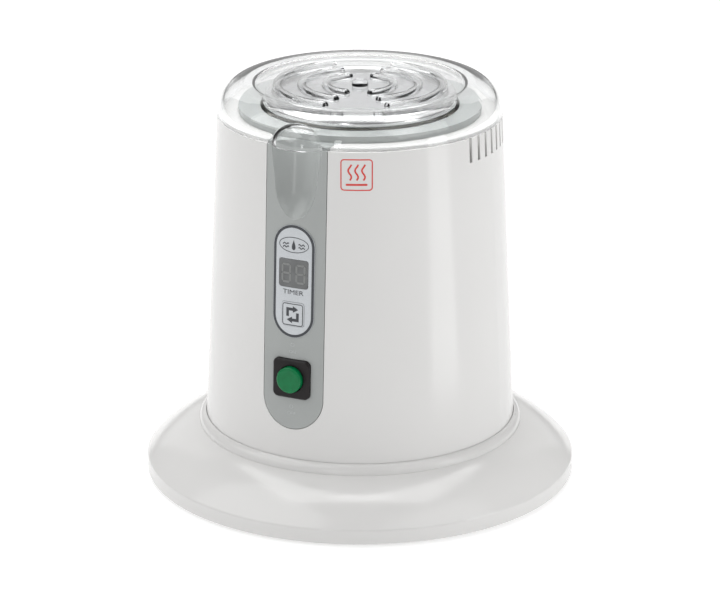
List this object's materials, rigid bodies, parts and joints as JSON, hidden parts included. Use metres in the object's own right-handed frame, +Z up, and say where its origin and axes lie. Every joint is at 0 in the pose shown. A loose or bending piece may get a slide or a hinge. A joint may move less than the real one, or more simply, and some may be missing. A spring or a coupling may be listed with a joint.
{
  "type": "paraffin wax bath",
  "caption": "Small round paraffin wax bath: tapered drum on a wide foot, clear lift-off lid over an aluminium tank, timer panel with key and window, and a push power button.",
  "frame": {"origin": "on the table, under the middle of the round foot", "axes": "+Z up along the drum's axis, the front panel faces -Y, +X is to the right seen from the front"},
  "size_m": [0.2, 0.2, 0.1865],
  "materials": {
    "white_plastic": "glossy white ABS",
    "cover_plastic": "moulded white ABS",
    "grey_plastic": "satin grey ABS",
    "clear_plastic": "clear moulded plastic",
    "foot_rubber": "soft black rubber",
    "steel": "zinc-plated steel",
    "sheet_steel": "galvanised sheet steel",
    "tank_aluminium": "spun and polished aluminium",
    "heater_mica": "mica band with a steel skin",
    "insulation": "glass-fibre felt",
    "ceramic": "steatite",
    "brass": "plain brass",
    "label_film": "silver printed film",
    "window_plastic": "smoked clear plastic",
    "board_green": "coated circuit board",
    "black_plastic": "black moulded plastic",
    "green_plastic": "green translucent plastic",
    "relay_blue": "moulded case",
    "wire_brown": "PVC insulation",
    "wire_white": "glass-fibre sleeve"
  },
  "bodies": {
    "housing": {"base_shell": "white_plastic", "body_shell": "white_plastic", "bottom_cover": "cover_plastic", "fascia": "grey_plastic", "feet": "foot_rubber", "bottom_screws": "steel", "body_screws": "steel", "frame_screws": "steel", "frame_nuts": "steel", "heater_screws": "steel", "heater_nuts": "steel", "tank_nuts": "steel", "tank_studs": "steel", "control_board_screws": "steel", "power_board_screws": "steel", "support_frame": "sheet_steel", "thermostat_strap": "sheet_steel", "wax_tank": "tank_aluminium", "band_heater": "heater_mica", "insulation_jacket": "insulation", "insulation_disc": "insulation", "tank_spacers": "ceramic", "thermostat": "black_plastic", "temperature_probe": "ceramic", "thermal_fuse": "tank_aluminium", "earth_lug": "brass", "overlay_label": "label_film", "display_window": "window_plastic", "display_module": "black_plastic", "control_board": "board_green", "microcontroller": "black_plastic", "tact_switch": "black_plastic", "switch_housing": "black_plastic", "switch_spring": "steel", "switch_nut": "black_plastic", "switch_terminals": "brass", "power_inlet": "black_plastic", "inlet_pins": "brass", "power_board": "board_green", "transformer": "sheet_steel", "relay": "relay_blue", "capacitor": "black_plastic", "terminal_block": "board_green", "fuse_holder": "black_plastic", "signal_plugs": "cover_plastic", "signal_cable": "black_plastic", "inlet_wires": "wire_brown", "heater_wires": "wire_white"},
    "lid": {"lid": "clear_plastic"},
    "power_button": {"switch_button": "green_plastic"},
    "timer_key": {"timer_key": "label_film", "tact_plunger": "black_plastic"}
  },
  "joints": [
    {"name": "lid_lift", "type": "slide", "parent": "housing", "child": "lid", "axis": [0, 0, 1], "range_m": [0, 0.08]},
    {"name": "power_button_press", "type": "slide", "parent": "housing", "child": "power_button", "axis": [0, 0.9989, -0.0478], "range_m": [0, 0.0025], "stiffness_N_per_m": 400, "springref_m": -0.001, "deforming": ["switch_spring"]},
    {"name": "timer_key_press", "type": "slide", "parent": "housing", "child": "timer_key", "axis": [0, 0.9989, -0.0478], "range_m": [0, 0.0004], "stiffness_N_per_m": 2500}
  ]
}
